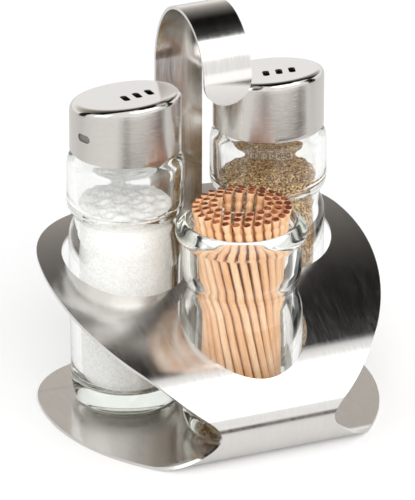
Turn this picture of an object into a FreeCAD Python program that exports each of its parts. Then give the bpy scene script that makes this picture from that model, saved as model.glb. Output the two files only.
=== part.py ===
import FreeCAD, Part
import math
import os
import Sketcher
from FreeCAD import Placement, Rotation, Vector

# Salt, pepper and toothpick set in a stand bent from one steel sheet, in millimetres.
# +Z is up and the floor is z = 0. The shakers stand at x = -23 and +23 on the y = 0 line,
# the toothpick jar stands in front of them, towards -Y, and x = 0 is the plane of symmetry.

doc = FreeCAD.newDocument("TableSet")
sheet = doc.addObject("Spreadsheet::Sheet", "Sizes")

driving_sizes = [
    # the bent sheet, seen from the side: front bend, ramp and top plate
    ("sheet_thickness", 1.0),
    ("bend_radius", 12.0),
    ("bend_turn", 120.0),
    ("bend_centre_y", -47.7),
    ("ramp_radius", 31.5),
    ("ramp_turn", 33.0),
    ("plate_radius", 189.0),
    # the outline that the base and the top plate share, seen from above
    ("trim_margin", 3.0),
    ("rear_edge", 31.0),
    ("lobe_radius", 26.4),
    ("side_radius", 61.5),
    ("side_centre_y", -8.0),
    ("flare_start_y", -51.8),
    ("neck_half_width", 16.7),
    # the handle strap
    ("strap_width", 15.0),
    ("strap_back_y", 14.4),
    ("strap_foot_radius", 3.0),
    ("strap_straight_top", 101.0),
    ("hook_rear_radius", 27.0),
    ("hook_rear_turn", 40.0),
    ("hook_crown_radius", 17.3),
    ("slot_clearance", 0.5),
    ("relief_width", 0.6),
    # the shakers
    ("shaker_spacing", 46.0),
    ("shaker_hole_clearance", 2.0),
    ("shaker_foot_radius", 15.2),
    ("shaker_low_radius", 16.3),
    ("shaker_low_height", 5.0),
    ("shaker_body_radius", 17.0),
    ("shaker_waist_radius", 15.1),
    ("shaker_waist_height", 58.7),
    ("shaker_waist_reach", 4.1),
    ("shaker_head_radius", 17.4),
    ("shaker_head_top", 77.5),
    ("shaker_neck_radius", 13.9),
    ("shaker_neck_bottom", 79.8),
    ("shaker_neck_height", 5.1),
    ("glass_wall", 3.0),
    ("neck_wall", 2.0),
    ("glass_floor", 4.5),
    ("glass_round", 1.5),
    ("fill_gap", 0.05),
    ("salt_rise", 0.7),
    ("pepper_rise", 2.4),
    ("fill_mound", 1.3),
    # the plastic inserts and the steel caps
    ("cap_radius", 16.5),
    ("cap_wall", 0.6),
    ("cap_lift", 0.8),
    ("cap_height", 16.4),
    ("cap_tilt", 10.0),
    ("cap_round", 2.2),
    ("running_clearance", 0.05),
    ("insert_skirt_lift", 0.6),
    ("insert_disc_thickness", 1.4),
    ("insert_disc_gap", 0.2),
    ("insert_rim_height", 4.9),
    ("insert_rim_wall", 1.4),
    ("sieve_hole_radius", 1.1),
    ("sieve_circle_radius", 7.0),
    ("sieve_hole_count", 6),
    ("slot_length", 6.0),
    ("slot_width", 2.0),
    ("slot_pitch", 3.95),
    ("slot_row_offset", 3.4),
    ("slot_row_shift", 1.6),
    ("slot_row_turn", -15.0),
    ("slot_turn", -24.0),
    ("spout_width", 5.0),
    ("spout_height", 2.4),
    ("spout_level", 7.4),
    ("salt_cap_turn", 19.0),
    ("pepper_cap_turn", 5.0),
    # the toothpick jar
    ("jar_axis_y", -32.5),
    ("jar_wall", 2.6),
    ("jar_foot_radius", 15.9),
    ("jar_low_radius", 17.5),
    ("jar_low_height", 6.0),
    ("jar_body_radius", 18.1),
    ("jar_waist_radius", 15.7),
    ("jar_waist_height", 45.2),
    ("jar_waist_drop", 6.7),
    ("jar_waist_rise", 4.8),
    ("jar_head_radius", 17.8),
    ("jar_head_top", 59.5),
    ("jar_lip_radius", 19.4),
    ("jar_lip_bottom", 63.4),
    ("jar_height", 66.4),
    ("jar_hole_clearance", 0.6),
    ("jar_hole_slack", 1.5),
    # the toothpicks
    ("pick_length", 67.4),
    ("pick_radius", 1.05),
    ("pick_point_length", 6.0),
    ("pick_groove_depth", 0.3),
    ("pick_groove_width", 0.9),
    ("pick_groove_pitch", 3.0),
    ("outer_pick_count", 27),
    ("outer_pick_top", 13.6),
    ("outer_pick_foot", 11.6),
    ("inner_pick_count", 21),
    ("inner_pick_top", 10.9),
    ("inner_pick_foot", 8.6),
    ("core_pick_count", 15),
    ("core_pick_top", 8.3),
    ("core_pick_foot", 5.6),
    ("pick_twist", 62.0),
    ("pick_gap", 0.3),
]

# These heights follow a waist, so that the curves above and below move with it.
following_sizes = [
    ("shaker_body_top", "=shaker_waist_height - shaker_waist_reach"),
    ("shaker_head_bottom", "=shaker_waist_height + shaker_waist_reach"),
    ("jar_body_height", "=jar_waist_height - jar_waist_drop"),
    ("jar_head_bottom", "=jar_waist_height + jar_waist_rise"),
]

for row, (alias, number) in enumerate(driving_sizes + following_sizes, start=1):
    sheet.set("A%d" % row, alias)
    sheet.set("B%d" % row, str(number))
    sheet.setAlias("B%d" % row, alias)
doc.recompute()


def size(alias):
    """A driving size as a plain number."""
    return float(sheet.get(alias))


def side_of(angle_degrees):
    """Unit vector in a side view, from the first axis towards the second."""
    angle = math.radians(angle_degrees)
    return Vector(math.cos(angle), math.sin(angle), 0)


def new_body(label):
    body = doc.addObject("PartDesign::Body", label)
    body.Label = label
    return body


def new_sketch(body, name, role, lift="0"):
    """A sketch on one of the body's own origin planes, lifted along the plane's normal."""
    plane = [item for item in body.Origin.OriginFeatures if item.Role == role][0]
    sketch = body.newObject("Sketcher::SketchObject", name)
    sketch.AttachmentSupport = (plane, [""])
    sketch.MapMode = "FlatFace"
    if lift != "0":
        sketch.setExpression("AttachmentOffset.Base.z", lift)
    return sketch


def pin(sketch, geometry, point, direction, expression):
    """Bind one coordinate of a point to an expression on the sheet."""
    if expression == "0":
        axis = -2 if direction == "DistanceX" else -1
        sketch.addConstraint(Sketcher.Constraint("PointOnObject", geometry, point, axis))
        return
    place = sketch.getPoint(geometry, point)
    now = place.x if direction == "DistanceX" else place.y
    index = sketch.addConstraint(Sketcher.Constraint(direction, -1, 1, geometry, point, now))
    sketch.setExpression("Constraints[%d]" % index, expression)


def draw_outline(sketch, corners):
    """Closed outline of straight edges, with every corner bound to the sheet."""
    count = len(corners)
    start = [side_of(360.0 * i / count) * 10 + Vector(20, 20, 0) for i in range(count)]
    first = sketch.GeometryCount
    for i in range(count):
        sketch.addGeometry(Part.LineSegment(start[i], start[(i + 1) % count]), False)
    for i in range(count):
        following = first + (i + 1) % count
        sketch.addConstraint(Sketcher.Constraint("Coincident", first + i, 2, following, 1))
    for i, (across, up) in enumerate(corners):
        pin(sketch, first + i, 1, "DistanceX", across)
        pin(sketch, first + i, 1, "DistanceY", up)


def draw_circle(sketch, across, up, radius):
    """Circle with its centre and radius bound to the sheet."""
    circle = sketch.addGeometry(Part.Circle(Vector(5, 5, 0), Vector(0, 0, 1), 1.0), False)
    pin(sketch, circle, 3, "DistanceX", across)
    pin(sketch, circle, 3, "DistanceY", up)
    index = sketch.addConstraint(Sketcher.Constraint("Radius", circle, 1.0))
    sketch.setExpression("Constraints[%d]" % index, radius)


def revolve(body, sketch, name="Turned"):
    turned = body.newObject("PartDesign::Revolution", name)
    turned.Profile = sketch
    turned.ReferenceAxis = (sketch, ["V_Axis"])
    turned.Angle = 360
    doc.recompute()
    return turned


def cut(body, sketch, name, upwards=True, symmetric=False, length=None):
    """Pocket from a sketch: through all, or to a length, and proved by the volume."""
    before = body.Shape.Volume
    pocket = body.newObject("PartDesign::Pocket", name)
    pocket.Profile = sketch
    if symmetric:
        pocket.SideType = "Symmetric"
    if length is None:
        pocket.Type = "ThroughAll"
    else:
        pocket.Type = "Length"
        pocket.setExpression("Length", length)
    pocket.Reversed = upwards
    doc.recompute()
    if body.Shape.Volume > before - 0.01:
        raise RuntimeError(name + " cut nothing")
    return pocket


def round_circles(body, name, spots, radius):
    """Fillet the round edges that pass a radius and a height, each measured on the solid."""
    base = body.Tip
    edges = []
    for number, edge in enumerate(base.Shape.Edges, start=1):
        point = edge.Vertexes[0].Point
        for spot_radius, spot_height in spots:
            off = math.hypot(math.hypot(point.x, point.y) - spot_radius, point.z - spot_height)
            if off < 0.01 and edge.Curve.TypeId == "Part::GeomCircle":
                edges.append("Edge%d" % number)
    fillet = body.newObject("PartDesign::Fillet", name)
    fillet.Base = (base, edges)
    fillet.setExpression("Radius", radius)
    doc.recompute()
    return fillet


def rotated_to(body, x, y, z, turn=0.0):
    body.Placement = Placement(Vector(x, y, z), Rotation(Vector(0, 0, 1), turn))


# The stand: one sheet whose base, front bend, ramp and top plate are one strip, cut to a
# rounded outline, with a narrower strap that rises from the base and curls into a hook.

def turn_along(start, heading, radius, turn):
    """Arc of a strip's outer line: starts at a point, heads along an angle, and turns clockwise."""
    inward = side_of(heading - 90)
    centre = start + inward * radius
    middle = centre - side_of(heading - turn / 2 - 90) * radius
    end = centre - side_of(heading - turn - 90) * radius
    return centre, middle, end


def strip_outline(start, heading, pieces, thickness):
    """Outer and inner lines of a bent strip, from pieces that are (length,) or (radius, turn)."""
    outer = []
    inner = []
    point = start
    for piece in pieces:
        inward = side_of(heading - 90) * thickness
        if len(piece) == 1:
            end = point + side_of(heading) * piece[0]
            outer.append(Part.LineSegment(point, end))
            inner.append(Part.LineSegment(end + inward, point + inward))
        else:
            radius, turn = piece
            centre, middle, end = turn_along(point, heading, radius, turn)
            share = (radius - thickness) / radius
            near = [centre + (spot - centre) * share for spot in (end, middle, point)]
            outer.append(Part.Arc(point, middle, end))
            inner.append(Part.Arc(near[0], near[1], near[2]))
            heading -= turn
        point = end
    cap = Part.LineSegment(point, inner[-1].StartPoint)
    inner.reverse()
    foot = Part.LineSegment(inner[-1].EndPoint, start)
    return outer + [cap] + inner + [foot]


def draw_chain(sketch, edges, radii=()):
    """Closed chain of edges that are already in place, joined and with bound radii."""
    for edge in edges:
        sketch.addGeometry(edge, False)
    count = len(edges)
    for i in range(count):
        following = (i + 1) % count
        ends = [sketch.getPoint(i, 1), sketch.getPoint(i, 2)]
        nexts = [sketch.getPoint(following, 1), sketch.getPoint(following, 2)]
        gaps = [(a.distanceToPoint(b), m + 1, n + 1) for m, a in enumerate(ends) for n, b in enumerate(nexts)]
        gap, here, there = min(gaps)
        sketch.addConstraint(Sketcher.Constraint("Coincident", i, here, following, there))
    for index, expression in radii:
        radius = sketch.Geometry[index].Radius
        number = sketch.addConstraint(Sketcher.Constraint("Radius", index, radius))
        sketch.setExpression("Constraints[%d]" % number, expression)


thickness = size("sheet_thickness")
bend_y = size("bend_centre_y")
plate_end_y = size("rear_edge") + size("trim_margin")

stand = new_body("stand_sheet")

# The strip runs forward along the floor, round the front bend, up the ramp and back.
plate_heading = 180 - size("bend_turn") - size("ramp_turn")
bend_out = turn_along(Vector(bend_y, 0, 0), 180, size("bend_radius"), size("bend_turn"))[2]
ramp_out = turn_along(bend_out, 180 - size("bend_turn"), size("ramp_radius"), size("ramp_turn"))[2]
plate_centre = ramp_out + side_of(plate_heading - 90) * size("plate_radius")
end_heading = math.degrees(math.asin((plate_centre.x - plate_end_y) / size("plate_radius")))
plate_turn = plate_heading - end_heading
strip_start = Vector(plate_end_y, 0, 0)
strip = strip_outline(strip_start, 180, [
    (plate_end_y - bend_y,),
    (size("bend_radius"), size("bend_turn")),
    (size("ramp_radius"), size("ramp_turn")),
    (size("plate_radius"), plate_turn),
], thickness)
side_sketch = new_sketch(stand, "SideOfStrip", "YZ_Plane")
draw_chain(side_sketch, strip, [
    (1, "Sizes.bend_radius"),
    (2, "Sizes.ramp_radius"),
    (3, "Sizes.plate_radius"),
    (5, "Sizes.plate_radius - Sizes.sheet_thickness"),
    (6, "Sizes.ramp_radius - Sizes.sheet_thickness"),
    (7, "Sizes.bend_radius - Sizes.sheet_thickness"),
])
strip_pad = stand.newObject("PartDesign::Pad", "Strip")
strip_pad.Profile = side_sketch
strip_pad.SideType = "Symmetric"
strip_pad.setExpression("Length", "2 * (Sizes.shaker_spacing / 2 + Sizes.lobe_radius + 5)")
doc.recompute()


def sheet_top(y):
    """Height of the upper face of the ramp and top plate over a point on the floor."""
    return plate_centre.y + math.sqrt(size("plate_radius") ** 2 - (y - plate_centre.x) ** 2)


def plan_outline():
    """Outline of the sheet from above: rear arc, lobes, sides, flares and the front line."""
    lobe_x = size("shaker_spacing") / 2
    lobe = size("lobe_radius")
    rear = size("rear_edge")
    side = size("side_radius")
    rear_radius = (lobe_x ** 2 + rear ** 2 - lobe ** 2) / (2 * (rear - lobe))
    rear_centre = Vector(0, rear - rear_radius, 0)
    lobe_centre = Vector(lobe_x, 0, 0)
    side_y = size("side_centre_y")
    side_centre = Vector(lobe_x - math.sqrt((side - lobe) ** 2 - side_y ** 2), side_y, 0)
    lobe_from = lobe_centre + (lobe_centre - rear_centre).normalize() * lobe
    lobe_to = lobe_centre + (lobe_centre - side_centre).normalize() * lobe
    flare_y = size("flare_start_y")
    flare = Vector(side_centre.x + math.sqrt(side ** 2 - (flare_y - side_y) ** 2), flare_y, 0)
    neck = Vector(size("neck_half_width"), bend_y - size("bend_radius") - 0.3, 0)
    along = Vector(flare.y - side_centre.y, side_centre.x - flare.x, 0).normalize()
    chord = neck - flare
    flare_middle = flare + chord * 0.5
    bulge = chord.Length / 2 * math.tan(along.getAngle(chord) / 2)
    flare_middle -= Vector(chord.y, -chord.x, 0).normalize() * bulge
    lobe_middle = lobe_centre + (lobe_from + lobe_to - lobe_centre * 2).normalize() * lobe
    side_middle = side_centre + (lobe_to + flare - side_centre * 2).normalize() * side

    def mirrored(spot):
        return Vector(-spot.x, spot.y, 0)

    right = [
        Part.Arc(lobe_from, lobe_middle, lobe_to),
        Part.Arc(lobe_to, side_middle, flare),
        Part.Arc(flare, flare_middle, neck),
    ]
    left = [
        Part.Arc(mirrored(neck), mirrored(flare_middle), mirrored(flare)),
        Part.Arc(mirrored(flare), mirrored(side_middle), mirrored(lobe_to)),
        Part.Arc(mirrored(lobe_to), mirrored(lobe_middle), mirrored(lobe_from)),
    ]
    front = Part.LineSegment(neck, mirrored(neck))
    rear_arc = Part.Arc(mirrored(lobe_from), Vector(0, rear, 0), lobe_from)
    return right + [front] + left + [rear_arc]


outline_sketch = new_sketch(stand, "Outline", "XY_Plane")
draw_chain(outline_sketch, plan_outline(), [
    (0, "Sizes.lobe_radius"),
    (1, "Sizes.side_radius"),
    (5, "Sizes.side_radius"),
    (6, "Sizes.lobe_radius"),
])
blank_half = size("shaker_spacing") + size("lobe_radius") + 40
blank = [Vector(-blank_half, -blank_half, 0), Vector(blank_half, -blank_half, 0)]
blank += [Vector(blank_half, blank_half, 0), Vector(-blank_half, blank_half, 0)]
for i in range(4):
    outline_sketch.addGeometry(Part.LineSegment(blank[i], blank[(i + 1) % 4]), False)
doc.recompute()
cut(stand, outline_sketch, "TrimToOutline", symmetric=True)

# Holes in the top plate only: their sketches lie between the base and the ramp.
holes = new_sketch(stand, "ShakerHoles", "XY_Plane", "2 * Sizes.bend_radius")
hole_radius = "Sizes.shaker_body_radius + Sizes.shaker_hole_clearance"
draw_circle(holes, "-Sizes.shaker_spacing / 2", "0", hole_radius)
draw_circle(holes, "Sizes.shaker_spacing / 2", "0", hole_radius)
cut(stand, holes, "ShakerHolesCut")

jar_hole = size("jar_body_radius") + size("jar_hole_clearance")
jar_back = Vector(0, size("jar_axis_y"), 0)
jar_front = jar_back - Vector(0, size("jar_hole_slack"), 0)
wide = Vector(jar_hole, 0, 0)
deep = Vector(0, jar_hole, 0)
jar_edges = [
    Part.Arc(jar_back + wide, jar_back + deep, jar_back - wide),
    Part.LineSegment(jar_back - wide, jar_front - wide),
    Part.Arc(jar_front - wide, jar_front - deep, jar_front + wide),
    Part.LineSegment(jar_front + wide, jar_back + wide),
]
jar_sketch = new_sketch(stand, "JarHole", "XY_Plane", "Sizes.bend_radius")
jar_radius_rule = "Sizes.jar_body_radius + Sizes.jar_hole_clearance"
draw_chain(jar_sketch, jar_edges, [(0, jar_radius_rule), (2, jar_radius_rule)])
cut(stand, jar_sketch, "JarHoleCut")

# The strap passes up through a slot in the top plate.
half_slot = "Sizes.strap_width / 2 + Sizes.slot_clearance"
slot_front = "Sizes.strap_back_y - Sizes.sheet_thickness - Sizes.slot_clearance"
slot_back = "Sizes.strap_back_y + Sizes.slot_clearance"
slot_sketch = new_sketch(stand, "StrapSlot", "XY_Plane", "2 * Sizes.bend_radius")
draw_outline(slot_sketch, [
    ("-(%s)" % half_slot, slot_front),
    (half_slot, slot_front),
    (half_slot, slot_back),
    ("-(%s)" % half_slot, slot_back),
])
cut(stand, slot_sketch, "StrapSlotCut")

# The strap is cut free of the base behind its root, with a narrow relief on each side.
half_notch = "Sizes.strap_width / 2 + Sizes.relief_width"
notch_front = "Sizes.strap_back_y - Sizes.strap_foot_radius - Sizes.sheet_thickness"
notch_sketch = new_sketch(stand, "BaseNotch", "XY_Plane", "-Sizes.sheet_thickness")
draw_outline(notch_sketch, [
    ("-(%s)" % half_notch, notch_front),
    (half_notch, notch_front),
    (half_notch, "Sizes.rear_edge + 5"),
    ("-(%s)" % half_notch, "Sizes.rear_edge + 5"),
])
cut(stand, notch_sketch, "BaseNotchCut", length="3 * Sizes.sheet_thickness")

# The strap's own strip: a root in the base, the foot bend, the upright and the hook.
back_y = size("strap_back_y")
foot = size("strap_foot_radius")
root_y = back_y - foot - thickness - 2.0
upright_from = Vector(root_y, 0, 0)
rear_turn = size("hook_rear_turn")


def strap_edges():
    """The strap from its root up and over, drawn with its outer side on the left hand."""
    outer = [Part.LineSegment(Vector(root_y, 0, 0), Vector(back_y - foot, 0, 0))]
    knee = Vector(back_y - foot, foot, 0)
    outer.append(Part.Arc(Vector(back_y - foot, 0, 0), knee + side_of(-45) * foot, Vector(back_y, foot, 0)))
    top = Vector(back_y, size("strap_straight_top"), 0)
    outer.append(Part.LineSegment(Vector(back_y, foot, 0), top))
    rear = size("hook_rear_radius")
    rear_centre = top - Vector(rear, 0, 0)
    shoulder = rear_centre + side_of(rear_turn) * rear
    outer.append(Part.Arc(top, rear_centre + side_of(rear_turn / 2) * rear, shoulder))
    crown = size("hook_crown_radius")
    crown_centre = shoulder - side_of(rear_turn) * crown
    front = crown_centre - Vector(crown, 0, 0)
    outer.append(Part.Arc(shoulder, crown_centre + side_of(90 + rear_turn / 2) * crown, front))
    tip = front - Vector(0, size("strap_width") / 2, 0)
    outer.append(Part.LineSegment(front, tip))
    inner = [Part.LineSegment(tip + Vector(thickness, 0, 0), front + Vector(thickness, 0, 0))]
    near = crown - thickness
    inner.append(Part.Arc(front + Vector(thickness, 0, 0), crown_centre + side_of(90 + rear_turn / 2) * near,
                          crown_centre + side_of(rear_turn) * near))
    near = rear - thickness
    inner.append(Part.Arc(rear_centre + side_of(rear_turn) * near,
                          rear_centre + side_of(rear_turn / 2) * near,
                          top - Vector(thickness, 0, 0)))
    inner.append(Part.LineSegment(top - Vector(thickness, 0, 0), Vector(back_y - thickness, foot, 0)))
    near = foot - thickness
    inner.append(Part.Arc(Vector(back_y - thickness, foot, 0), knee + side_of(-45) * near,
                          Vector(back_y - foot, thickness, 0)))
    inner.append(Part.LineSegment(Vector(back_y - foot, thickness, 0), Vector(root_y, thickness, 0)))
    tip_edge = Part.LineSegment(tip, tip + Vector(thickness, 0, 0))
    root_edge = Part.LineSegment(Vector(root_y, thickness, 0), Vector(root_y, 0, 0))
    return outer + [tip_edge] + inner + [root_edge], crown_centre


strap_chain, crown_centre = strap_edges()
strap_sketch = new_sketch(stand, "SideOfStrap", "YZ_Plane")
draw_chain(strap_sketch, strap_chain, [(3, "Sizes.hook_rear_radius"), (4, "Sizes.hook_crown_radius")])
strap_pad = stand.newObject("PartDesign::Pad", "Strap")
strap_pad.Profile = strap_sketch
strap_pad.SideType = "Symmetric"
strap_pad.setExpression("Length", "Sizes.strap_width")
doc.recompute()

# The strap ends in a half circle as wide as the strap.
half = size("strap_width") / 2
low = crown_centre.y - half - 2
tab_edges = [
    Part.LineSegment(Vector(-half - 2, crown_centre.y, 0), Vector(-half - 2, low, 0)),
    Part.LineSegment(Vector(-half - 2, low, 0), Vector(half + 2, low, 0)),
    Part.LineSegment(Vector(half + 2, low, 0), Vector(half + 2, crown_centre.y, 0)),
    Part.LineSegment(Vector(half + 2, crown_centre.y, 0), Vector(half, crown_centre.y, 0)),
    Part.Arc(Vector(half, crown_centre.y, 0), Vector(0, crown_centre.y - half, 0),
             Vector(-half, crown_centre.y, 0)),
    Part.LineSegment(Vector(-half, crown_centre.y, 0), Vector(-half - 2, crown_centre.y, 0)),
]
tab_sketch = new_sketch(stand, "RoundTab", "XZ_Plane")
draw_chain(tab_sketch, tab_edges, [(4, "Sizes.strap_width / 2")])
cut(stand, tab_sketch, "RoundTabCut")


# The shaker jars: pressed glass with a drawn-in waist, a thick floor and a short neck.

def shaker_outside():
    return [
        ("Sizes.shaker_foot_radius", "0"),
        ("Sizes.shaker_low_radius", "Sizes.shaker_low_height"),
        ("Sizes.shaker_body_radius", "Sizes.shaker_body_top"),
        ("Sizes.shaker_waist_radius", "Sizes.shaker_waist_height"),
        ("Sizes.shaker_head_radius", "Sizes.shaker_head_bottom"),
        ("Sizes.shaker_head_radius", "Sizes.shaker_head_top"),
        ("Sizes.shaker_neck_radius", "Sizes.shaker_neck_bottom"),
    ]


def shaker_inside(inset):
    """Corners of the hollow from the floor up, drawn in from the glass by an extra inset."""
    wall = "Sizes.glass_wall + " + inset
    return [
        ("Sizes.shaker_low_radius - (%s)" % wall, "Sizes.glass_floor + " + inset),
        ("Sizes.shaker_body_radius - (%s)" % wall, "Sizes.shaker_body_top"),
        ("Sizes.shaker_waist_radius - (%s)" % wall, "Sizes.shaker_waist_height"),
        ("Sizes.shaker_head_radius - (%s)" % wall, "Sizes.shaker_head_bottom"),
    ]


def make_shaker(label, x):
    body = new_body(label)
    sketch = new_sketch(body, "Profile", "XZ_Plane")
    mouth = "Sizes.shaker_neck_bottom + Sizes.shaker_neck_height"
    bore = "Sizes.shaker_neck_radius - Sizes.neck_wall"
    corners = [("0", "0")] + shaker_outside()
    corners += [("Sizes.shaker_neck_radius", mouth), (bore, mouth)]
    corners += [(bore, "Sizes.shaker_neck_bottom - Sizes.neck_wall / 2")]
    corners += [("Sizes.shaker_head_radius - Sizes.glass_wall",
                 "Sizes.shaker_head_top - Sizes.glass_wall / 2")]
    corners += list(reversed(shaker_inside("0")))
    corners += [("0", "Sizes.glass_floor")]
    draw_outline(sketch, corners)
    revolve(body, sketch)
    round_circles(body, "SoftEdges", [
        (size("shaker_foot_radius"), 0.0),
        (size("shaker_body_radius"), size("shaker_body_top")),
        (size("shaker_waist_radius"), size("shaker_waist_height")),
        (size("shaker_head_radius"), size("shaker_head_bottom")),
        (size("shaker_head_radius"), size("shaker_head_top")),
    ], "Sizes.glass_round")
    rotated_to(body, x, 0, thickness)
    return body


def make_fill(label, x, level):
    """The contents of a shaker, a hair inside the glass, with a low mound on top."""
    body = new_body(label)
    sketch = new_sketch(body, "Profile", "XZ_Plane")
    inset = "Sizes.fill_gap"
    corners = [("0", "Sizes.glass_floor + " + inset)] + shaker_inside(inset)
    corners += [("Sizes.shaker_head_radius - Sizes.glass_wall - " + inset, level)]
    corners += [("0", level + " + Sizes.fill_mound")]
    draw_outline(sketch, corners)
    revolve(body, sketch)
    rotated_to(body, x, 0, thickness)
    return body


half_spacing = size("shaker_spacing") / 2
make_shaker("salt_jar", -half_spacing)
make_shaker("pepper_jar", half_spacing)
make_fill("salt_fill", -half_spacing, "Sizes.shaker_head_bottom + Sizes.salt_rise")
make_fill("pepper_fill", half_spacing, "Sizes.shaker_head_bottom + Sizes.pepper_rise")

# The plastic insert is a sleeve that grips the neck, with a sieve across it that closes the
# mouth. The steel cap turns on its rim. Heights are counted from the cap's lower edge.
cap_foot = thickness + size("shaker_neck_bottom") + size("cap_lift")


insert_bore = "Sizes.shaker_neck_radius + Sizes.running_clearance"
sieve_low = "Sizes.shaker_neck_height - Sizes.cap_lift + Sizes.insert_disc_gap"
sieve_high = sieve_low + " + Sizes.insert_disc_thickness"


def make_insert(label, x, turn, with_spout):
    body = new_body(label)
    sketch = new_sketch(body, "Profile", "XZ_Plane")
    outside = "Sizes.cap_radius - Sizes.cap_wall - Sizes.running_clearance"
    rim_top = sieve_high + " + Sizes.insert_rim_height"
    draw_outline(sketch, [
        (insert_bore, "Sizes.insert_skirt_lift"),
        (outside, "Sizes.insert_skirt_lift"),
        (outside, rim_top),
        (outside + " - Sizes.insert_rim_wall", rim_top),
        (outside + " - Sizes.insert_rim_wall", sieve_high),
        (insert_bore, sieve_high),
    ])
    revolve(body, sketch)
    if with_spout:
        # The gate is a quarter turn from the cap's pour slot, which is closed as it stands.
        gate = new_sketch(body, "SpoutGate", "XZ_Plane")
        draw_outline(gate, spout_corners())
        cut(body, gate, "SpoutGateCut")
    rotated_to(body, x, 0, cap_foot, turn)
    return body


def make_sieve(label, x, turn):
    body = new_body(label)
    sketch = new_sketch(body, "Profile", "XZ_Plane")
    draw_outline(sketch, [
        ("0", sieve_low),
        (insert_bore, sieve_low),
        (insert_bore, sieve_high),
        ("0", sieve_high),
    ])
    revolve(body, sketch)
    sieve = new_sketch(body, "SieveHole", "XY_Plane", "Sizes.insert_skirt_lift")
    draw_circle(sieve, "Sizes.sieve_circle_radius", "0", "Sizes.sieve_hole_radius")
    first_hole = cut(body, sieve, "SieveHoleCut")
    around = body.newObject("PartDesign::PolarPattern", "SieveHoles")
    around.Originals = [first_hole]
    around.Axis = (sieve, ["N_Axis"])
    around.Angle = 360
    around.Occurrences = int(size("sieve_hole_count"))
    body.Tip = around
    doc.recompute()
    rotated_to(body, x, 0, cap_foot, turn)
    return body


def spout_corners():
    """The pour slot in the side, as seen from the side."""
    high = "Sizes.spout_level + Sizes.spout_height / 2"
    low = "Sizes.spout_level - Sizes.spout_height / 2"
    return [
        ("-Sizes.spout_width / 2", low),
        ("Sizes.spout_width / 2", low),
        ("Sizes.spout_width / 2", high),
        ("-Sizes.spout_width / 2", high),
    ]


def make_cap(label, x, turn, with_spout):
    """Drawn steel cap with a slanted, rounded top, three slots and a pour slot in the side."""
    body = new_body(label)
    sketch = new_sketch(body, "Profile", "XZ_Plane")
    blank_top = "Sizes.cap_height + Sizes.cap_radius"
    draw_outline(sketch, [
        ("0", "0"),
        ("Sizes.cap_radius", "0"),
        ("Sizes.cap_radius", blank_top),
        ("0", blank_top),
    ])
    revolve(body, sketch, "Blank")
    slant = new_sketch(body, "Slant", "YZ_Plane")
    reach = "2 * Sizes.cap_radius"
    rise = "%s * tan(Sizes.cap_tilt * 1 deg)" % reach
    draw_outline(slant, [
        (reach, "Sizes.cap_height - " + rise),
        (reach, blank_top + " + Sizes.cap_radius"),
        ("-" + reach, blank_top + " + Sizes.cap_radius"),
        ("-" + reach, "Sizes.cap_height + " + rise),
    ])
    cut(body, slant, "SlantCut", symmetric=True)
    solid = body.Tip
    top_edge = [
        "Edge%d" % number for number, edge in enumerate(solid.Shape.Edges, start=1)
        if edge.Curve.TypeId == "Part::GeomEllipse"
    ]
    rounded = body.newObject("PartDesign::Fillet", "RoundedTop")
    rounded.Base = (solid, top_edge)
    rounded.setExpression("Radius", "Sizes.cap_round")
    doc.recompute()
    open_face = [
        "Face%d" % number for number, face in enumerate(rounded.Shape.Faces, start=1)
        if face.BoundBox.ZMax < 0.01
    ]
    shell = body.newObject("PartDesign::Thickness", "Shell")
    shell.Base = (rounded, open_face)
    shell.setExpression("Value", "Sizes.cap_wall")
    shell.Reversed = True
    doc.recompute()
    slots = new_sketch(body, "TopSlots", "XY_Plane", "Sizes.spout_level + Sizes.spout_height / 2")
    for place in (-1, 0, 1):
        along = "%d * Sizes.slot_pitch" % place
        middle_x = "Sizes.slot_row_shift + %s * cos(Sizes.slot_row_turn * 1 deg)" % along
        middle_y = "-Sizes.slot_row_offset + %s * sin(Sizes.slot_row_turn * 1 deg)" % along
        corners = []
        for side, end in ((-1, -1), (1, -1), (1, 1), (-1, 1)):
            across = "%d * Sizes.slot_width / 2" % side
            onward = "%d * Sizes.slot_length / 2" % end
            turned_x = "%s * cos(Sizes.slot_turn * 1 deg) - %s * sin(Sizes.slot_turn * 1 deg)"
            turned_y = "%s * sin(Sizes.slot_turn * 1 deg) + %s * cos(Sizes.slot_turn * 1 deg)"
            corners.append((
                middle_x + " + " + turned_x % (across, onward),
                middle_y + " + " + turned_y % (across, onward),
            ))
        draw_outline(slots, corners)
    cut(body, slots, "TopSlotsCut")
    if with_spout:
        spout = new_sketch(body, "Spout", "YZ_Plane")
        draw_outline(spout, spout_corners())
        cut(body, spout, "SpoutCut", upwards=False)
    rotated_to(body, x, 0, cap_foot, turn)
    return body


make_insert("salt_insert", -half_spacing, size("salt_cap_turn"), True)
make_insert("pepper_insert", half_spacing, size("pepper_cap_turn"), False)
make_sieve("salt_sieve", -half_spacing, size("salt_cap_turn"))
make_sieve("pepper_sieve", half_spacing, size("pepper_cap_turn"))
make_cap("salt_cap", -half_spacing, size("salt_cap_turn"), True)
make_cap("pepper_cap", half_spacing, size("pepper_cap_turn"), False)

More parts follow.
